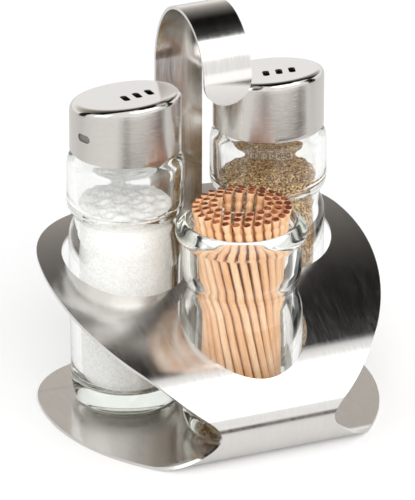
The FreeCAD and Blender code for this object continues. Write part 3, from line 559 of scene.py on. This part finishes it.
def grains(name, dark, light, specks, grain_mm, rough, depth_mm, under=0.0):
    """Loose grains: space is split into cells, each nearest to a random point of its own, and
    every cell is one grain with its own tone and height. The grains are drawn somewhat larger
    than real ones, so that they show."""
    material = new_material(name)
    place = node(material, "ShaderNodeTexCoord")
    cells = node(material, "ShaderNodeTexVoronoi", inputs={"Scale": 1000.0 / grain_mm},
                 links={"Vector": place.outputs["Object"]})
    tone = node(material, "ShaderNodeSeparateColor", links={0: cells.outputs["Color"]})
    ramp = node(material, "ShaderNodeValToRGB", links={"Fac": tone.outputs[0]})
    ramp.color_ramp.elements[0].color = linear(dark)
    ramp.color_ramp.elements[1].color = linear(light)
    for position, colour in specks:
        ramp.color_ramp.elements.new(position).color = linear(colour)
    relief = node(material, "ShaderNodeBump", inputs={"Strength": 0.8, "Distance": depth_mm * 0.001},
                  links={"Height": cells.outputs["Distance"]})
    loose = node(material, "ShaderNodeBsdfPrincipled",
                 inputs={"Roughness": rough, "Subsurface Weight": under,
                         "Subsurface Radius": (1.0, 0.95, 0.9), "Subsurface Scale": 0.0012},
                 links={"Base Color": ramp.outputs[0], "Normal": relief.outputs[0]})
    node(material, "ShaderNodeOutputMaterial", links={"Surface": loose.outputs[0]})
    return material


filled_wall = [
    (0, 4.65), (8, 4.95), (11.5, 5.7), (12.95, 8.1), (13.3, 12), (13.62, 30), (13.9, 50), (13.82, 53),
    (13.3, 55.4), (12.4, 57.4), (12.12, 58.8), (12.4, 60.2), (13.1, 61.6), (14.0, 63.2), (14.15, 63.5),
]
fine_salt = grains("fine table salt", "EDEBE8", "FFFFFF", [(0.5, "F7F6F4")], 0.42, 0.75, 0.10, 0.15)
ground_pepper = grains("ground pepper", "2E1B0C", "ECD2A6",
                       [(0.22, "71502F"), (0.5, "AB8454"), (0.78, "CDA878")], 0.45, 0.9, 0.16)
salt_heap = heaped("salt_grains", (-shaker_offset, 0, sheet_gauge), filled_wall,
                   63.5, (-0.030, 0.02), 3)
salt_heap.data.materials.append(fine_salt)
pepper_heap = heaped("pepper_grains", (shaker_offset, 0, sheet_gauge),
                     filled_wall[:-1] + [(14.3, 64.6), (14.33, 65.2)], 65.2, (0.01, -0.01), 8)
pepper_heap.data.materials.append(ground_pepper)
for heap, name in ((salt_heap, "salt"), (pepper_heap, "pepper")):
    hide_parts(name + "_fill")
    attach(heap, name + "_shaker")

# The inserts. Grey moulded polythene plugs that snap over the glass necks; they show only
# through the salt cap's pour slot.
insert_material = new_material("grey moulded polythene")
place = node(insert_material, "ShaderNodeTexCoord")
mottle = node(insert_material, "ShaderNodeTexNoise", inputs={"Scale": 1500.0, "Detail": 3.0},
              links={"Vector": place.outputs["Object"]})
tint = node(insert_material, "ShaderNodeMixRGB",
            inputs={"Color1": linear("6E6B69"), "Color2": linear("8C8986")},
            links={"Fac": mottle.outputs["Fac"]})
relief = node(insert_material, "ShaderNodeBump", inputs={"Strength": 0.3, "Distance": 0.0001},
              links={"Height": mottle.outputs["Fac"]})
plastic = node(insert_material, "ShaderNodeBsdfPrincipled", inputs={"Roughness": 0.5},
               links={"Base Color": tint.outputs[0], "Normal": relief.outputs[0]})
node(insert_material, "ShaderNodeOutputMaterial", links={"Surface": plastic.outputs[0]})
for name in ("salt_insert", "salt_sieve", "pepper_insert", "pepper_sieve"):
    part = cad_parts[name]
    part.data.materials.clear()
    part.data.materials.append(insert_material)

# The caps. Drawn from thin stainless sheet with a slanted top, a rolled shoulder and three
# slots; brushed round the side and polished finer on top.
cap_radius, cap_wall, cap_height, cap_round = 16.5, 0.6, 16.4, 2.2
cap_foot = 81.6
cap_tilt = math.radians(10)
cap_slope = math.tan(cap_tilt)


def cap_shell(name, turns=256):
    """Cap round the axis: up the side, round the shoulder by a quarter circle, in to the middle,
    and back the same way one wall further in. Then each height is moved by the slope times y,
    in full at the top and not at all at the rim."""
    bend = np.radians(np.linspace(0, 90, 13))
    flat = np.linspace(cap_radius - cap_round, 0, 10)[1:]
    rise = np.linspace(0.12, cap_height - cap_round, 14)[:-1]

    def side_and_top(inset):
        turn = cap_round - inset
        return np.concatenate([
            np.stack([np.full(13, cap_radius - inset), rise], 1),
            np.stack([cap_radius - cap_round + turn * np.cos(bend),
                      cap_height - cap_round + turn * np.sin(bend)], 1),
            np.stack([flat, np.full(9, cap_height - inset)], 1),
        ])

    rim = np.array([[cap_radius - cap_wall + 0.1, 0.0], [cap_radius - 0.1, 0.0]])
    line = np.concatenate([side_and_top(cap_wall)[::-1], rim, side_and_top(0)])
    angle = np.linspace(0, 2 * math.pi, turns, endpoint=False)
    x, y = line[:, :1] * np.cos(angle), line[:, :1] * np.sin(angle)
    share = np.clip(line[:, 1:] / (cap_height - cap_round), 0, 1)
    points = np.stack([x, y, line[:, 1:] - cap_slope * y * share], -1).reshape(-1, 3)
    made = new_mesh_object(name, points, ring_faces(len(line), turns).tolist())
    close_poles(made.data)
    return made


def slot_bar(centre, along, length, width, through, depth):
    """Bar with rounded ends: half circles at both ends of a run, drawn out through the metal."""
    along, through = np.array(along, float), np.array(through, float)
    across = np.cross(through, along)
    turn = np.radians(np.linspace(-90, 90, 9))
    reach = length / 2 - width / 2
    ends = [(sign * (reach + width / 2 * np.cos(turn)), sign * width / 2 * np.sin(turn))
            for sign in (1, -1)]
    outline = np.concatenate([np.stack(end, 1) for end in ends])
    base = np.array(centre) + outline[:, :1] * along + outline[:, 1:] * across
    return base - through * depth, base + through * depth


def take_away(made, bars):
    """Takes bars out of a piece with an exact boolean, one after the other. A bar is given by
    its two end outlines, in millimetres, with as many points in each."""
    for near, far in bars:
        count = len(near)
        shape = bmesh.new()
        corners = [shape.verts.new(Vector(point) * 0.001) for point in [*near, *far]]
        for i in range(count):
            after = (i + 1) % count
            shape.faces.new([corners[k] for k in (i, after, after + count, i + count)])
        shape.faces.new(corners[:count])
        shape.faces.new(corners[count:])
        bmesh.ops.recalc_face_normals(shape, faces=shape.faces)
        mesh = bpy.data.meshes.new("bar")
        shape.to_mesh(mesh)
        shape.free()
        bar = bpy.data.objects.new("bar", mesh)
        bpy.context.scene.collection.objects.link(bar)
        cutting = made.modifiers.new("cut", "BOOLEAN")
        cutting.operation = "DIFFERENCE"
        cutting.solver = "EXACT"
        cutting.object = bar
        bpy.context.view_layer.update()
        graph = bpy.context.evaluated_depsgraph_get()
        done = bpy.data.meshes.new_from_object(made.evaluated_get(graph))
        made.modifiers.clear()
        made.data = done
        bpy.data.objects.remove(bar)


def polished_above(material, colour, rough):
    """Lays a finer polish over a brushed metal wherever the face looks upwards."""
    tree = material.node_tree
    out = next(one for one in tree.nodes if one.type == "OUTPUT_MATERIAL")
    brushed = out.inputs["Surface"].links[0].from_socket
    shape = node(material, "ShaderNodeNewGeometry")
    parts = node(material, "ShaderNodeSeparateXYZ", links={0: shape.outputs["Normal"]})
    upward = node(material, "ShaderNodeMapRange", {"interpolation_type": "SMOOTHSTEP"},
                  {"From Min": 0.06, "From Max": 0.30}, {"Value": parts.outputs["Z"]})
    place = node(material, "ShaderNodeTexCoord")
    haze = node(material, "ShaderNodeTexNoise", inputs={"Scale": 900.0, "Detail": 3.0},
                links={"Vector": place.outputs["Object"]})
    gloss = node(material, "ShaderNodeMapRange", inputs={"To Min": rough * 0.8, "To Max": rough * 1.2},
                 links={"Value": haze.outputs["Fac"]})
    polish = node(material, "ShaderNodeBsdfPrincipled",
                  inputs={"Metallic": 1.0, "Base Color": linear(colour)},
                  links={"Roughness": gloss.outputs[0]})
    both = node(material, "ShaderNodeMixShader",
                links={0: upward.outputs[0], 1: brushed, 2: polish.outputs[0]})
    tree.links.new(both.outputs[0], out.inputs["Surface"])


cap_steel = brushed_steel("satin brushed stainless cap", ("C9C4BE", "E0DCD7"), 0.2, 0.75,
                          (0.35, 0.35, 6.0), "Z")
polished_above(cap_steel, "DEDBD7", 0.13)
slot_length, slot_width, slot_pitch = 6.0, 2.0, 3.95
row_shift, row_offset = 1.6, 3.4
row_turn, slot_turn = math.radians(-15), math.radians(-24)
spout_width, spout_height, spout_level = 5.0, 2.4, 7.4
down_slope = Vector((0, math.cos(cap_tilt), -math.sin(cap_tilt)))
out_of_top = Vector((0, math.sin(cap_tilt), math.cos(cap_tilt)))
slot_run = Matrix.Rotation(slot_turn, 3, out_of_top) @ down_slope
for name, across, turn, has_spout in (("salt", -shaker_offset, 19.0, True),
                                      ("pepper", shaker_offset, 5.0, False)):
    cap = cap_shell(name + "_steel_cap")
    bars = [
        slot_bar((row_shift + place * math.cos(row_turn), -row_offset + place * math.sin(row_turn),
                  cap_height + row_offset * cap_slope),
                 slot_run, slot_length, slot_width, out_of_top, 2.5)
        for place in (-slot_pitch, 0.0, slot_pitch)
    ]
    if has_spout:
        bars.append(slot_bar((-cap_radius, 0, spout_level), (0, 1, 0), spout_width, spout_height,
                             (1, 0, 0), 3.0))
    take_away(cap, bars)
    seat = Matrix.Translation((across * 0.001, 0, cap_foot * 0.001))
    cap.data.transform(seat @ Matrix.Rotation(math.radians(turn), 4, "Z"))
    cap.data.shade_smooth()
    cap.data.set_sharp_from_angle(angle=math.radians(35))
    cap.data.materials.clear()
    cap.data.materials.append(cap_steel)
    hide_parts(name + "_cap")
    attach(cap, name + "_lid")

# The toothpicks. Turned birch, pointed below, with two grooves and a flat end above that the
# lathe has scorched dark; they lean round the jar like the straws of a broom.
pick_length, pick_twist = 67.4, 62.0
jar_floor, pick_clearance = 4.5, 0.3
pick_foot = sheet_gauge + jar_floor + pick_clearance
pick_rings = [
    # how many, radius of the ring of heads, radius of the ring of feet
    (27, 13.6, 11.6), (21, 10.9, 8.6), (15, 8.3, 5.6),
]
pick_shift, uv_per_mm = 1.37, 0.01


def pick_meshes():
    """Every pick as one grid: radius over length gives the point, the grooves and the flat end,
    and the grid is swept round the line from the pick's foot to its head. UV holds the way
    round and the way along, in millimetres, with a shift for each pick."""
    line = np.array([
        (0.12, 0.0), (0.45, 1.5), (0.8, 3.6), (0.98, 5.6), (1.04, 8.0), (1.02, 30.0), (1.00, 59.6),
        (1.05, 60.6), (0.86, 61.0), (0.78, 61.4), (0.92, 61.9), (1.06, 62.8), (1.08, 63.5), (0.84, 64.0),
        (0.78, 64.4), (0.94, 64.9), (1.08, 65.8), (1.12, 66.8), (1.06, 67.3), (0.92, 67.4), (0.55, 67.32),
        (0.0, 67.25),
    ])
    turns = 14
    angle = np.linspace(0, 2 * math.pi, turns, endpoint=False)
    made = []
    number = 0
    for count, head_ring, foot_ring in pick_rings:
        for index in range(count):
            bearing = math.radians(270.0 - 360.0 * index / count)
            half = math.radians(pick_twist / 2)
            foot = np.array([math.cos(bearing + half), math.sin(bearing + half)]) * foot_ring
            head = np.array([math.cos(bearing - half), math.sin(bearing - half)]) * head_ring
            run = head - foot
            axis = np.array([run[0], run[1], math.sqrt(pick_length ** 2 - run @ run)]) / pick_length
            side = np.cross(axis, (0, 0, 1.0))
            side /= np.linalg.norm(side)
            other = np.cross(axis, side)
            start = np.array([foot[0], foot[1] + jar_axis_y, pick_foot])
            ring = np.cos(angle)[:, None] * side + np.sin(angle)[:, None] * other
            points = start + line[:, None, 1:] * axis + line[:, None, :1] * ring
            around = np.repeat(angle[None] / 6.2832, len(line), 0)
            along = np.repeat(line[:, 1:], turns, 1)
            made.append((points, around + number * pick_shift, along))
            number += 1
    return made, turns, len(line)


def pick_object(name, chosen, turns, rows):
    """One piece from the chosen picks: their grids, with the corners of each face listed the
    other way round, and one face that closes each foot. Where a face crosses the seam, its UV
    runs on past a whole turn."""
    points = np.concatenate([one[0].reshape(-1, 3) for one in chosen])
    grid_u = np.concatenate([one[1].reshape(-1) for one in chosen])
    grid_v = np.concatenate([one[2].reshape(-1) for one in chosen])
    shift = (np.arange(len(chosen)) * turns * rows)[:, None, None]
    quads = ring_faces(rows, turns)[:, (1, 0, 3, 2)]
    faces = (quads[None] + shift).reshape(-1, 4)
    feet = np.arange(turns)[None] + shift[:, 0]
    made = new_mesh_object(name, points, faces.tolist() + feet.tolist())
    mesh = made.data
    corner = np.empty(len(mesh.loops), np.int32)
    mesh.loops.foreach_get("vertex_index", corner)
    u, v = grid_u[corner], grid_v[corner]
    side_u = u[:faces.size].reshape(-1, 4)
    past_seam = side_u.max(1, keepdims=True) - side_u > 0.5
    u[:faces.size] = np.where(past_seam, side_u + 1, side_u).reshape(-1)
    layer = mesh.uv_layers.new(name="grain")
    uv = np.stack([u, v], 1) * uv_per_mm
    layer.data.foreach_set("uv", uv.reshape(-1).astype(np.float32))
    close_poles(mesh)
    mesh.shade_smooth()
    mesh.set_sharp_from_angle(angle=math.radians(50))
    return made


# Birch is pale and even. Its fibres run along the pick and each pick has a tone of its own: the
# way round times 73 grows by one whole number from pick to pick. The flat end is mottled red
# brown where the lathe has burnt it.
birch = new_material("turned birch with scorched ends")
grain_map = node(birch, "ShaderNodeUVMap", {"uv_map": "grain"})
stretch = node(birch, "ShaderNodeMapping", inputs={"Scale": (900.0, 9.0, 1.0)},
               links={"Vector": grain_map.outputs[0]})
fibre = node(birch, "ShaderNodeTexNoise", inputs={"Scale": 1.0, "Detail": 4.0, "Roughness": 0.6},
             links={"Vector": stretch.outputs[0]})
wood = node(birch, "ShaderNodeValToRGB", links={"Fac": fibre.outputs["Fac"]})
wood.color_ramp.elements[0].position = 0.30
wood.color_ramp.elements[0].color = linear("EBBA88")
wood.color_ramp.elements[1].position = 0.70
wood.color_ramp.elements[1].color = linear("FFE0BC")
parts = node(birch, "ShaderNodeSeparateXYZ", links={0: grain_map.outputs[0]})
which = node(birch, "ShaderNodeMath", {"operation": "MULTIPLY"}, {1: 73.0}, {0: parts.outputs[0]})
number = node(birch, "ShaderNodeMath", {"operation": "FLOOR"}, links={0: which.outputs[0]})
each = node(birch, "ShaderNodeTexWhiteNoise", {"noise_dimensions": "1D"}, links={"W": number.outputs[0]})
vary = node(birch, "ShaderNodeMath", {"operation": "MULTIPLY"}, {1: 0.5}, {0: each.outputs["Value"]})
tone = node(birch, "ShaderNodeMixRGB", {"blend_type": "MULTIPLY"}, {"Color2": linear("E6B98C")},
            {"Fac": vary.outputs[0], "Color1": wood.outputs[0]})
scorch = node(birch, "ShaderNodeMapRange",
              inputs={"From Min": 67.12 * uv_per_mm, "From Max": 67.21 * uv_per_mm},
              links={"Value": parts.outputs[1]})
place = node(birch, "ShaderNodeTexCoord")
mottle = node(birch, "ShaderNodeTexNoise", inputs={"Scale": 620.0, "Detail": 2.0},
              links={"Vector": place.outputs["Object"]})
char = node(birch, "ShaderNodeValToRGB", links={"Fac": mottle.outputs["Fac"]})
char.color_ramp.elements[0].position = 0.42
char.color_ramp.elements[0].color = linear("5E2010")
char.color_ramp.elements[1].position = 0.66
char.color_ramp.elements[1].color = linear("B4683C")
burnt = node(birch, "ShaderNodeMixRGB",
             links={"Fac": scorch.outputs[0], "Color1": tone.outputs[0], "Color2": char.outputs[0]})
relief = node(birch, "ShaderNodeBump", inputs={"Strength": 0.25, "Distance": 0.0001},
              links={"Height": fibre.outputs["Fac"]})
timber = node(birch, "ShaderNodeBsdfPrincipled", inputs={"Roughness": 0.62},
              links={"Base Color": burnt.outputs[0], "Normal": relief.outputs[0]})
node(birch, "ShaderNodeOutputMaterial", links={"Surface": timber.outputs[0]})

picks, pick_turns, pick_rows = pick_meshes()
free_pick = pick_object("free_pick", picks[:1], pick_turns, pick_rows)
held_picks = pick_object("held_picks", picks[1:], pick_turns, pick_rows)
for made, cad, body in ((free_pick, "loose_toothpick", "free_toothpick"),
                        (held_picks, "toothpicks", "toothpick_holder")):
    made.data.materials.append(birch)
    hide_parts(cad)
    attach(made, body)

# The whole set. Colours show as they are written.
bpy.context.scene.view_settings.view_transform = "Standard"
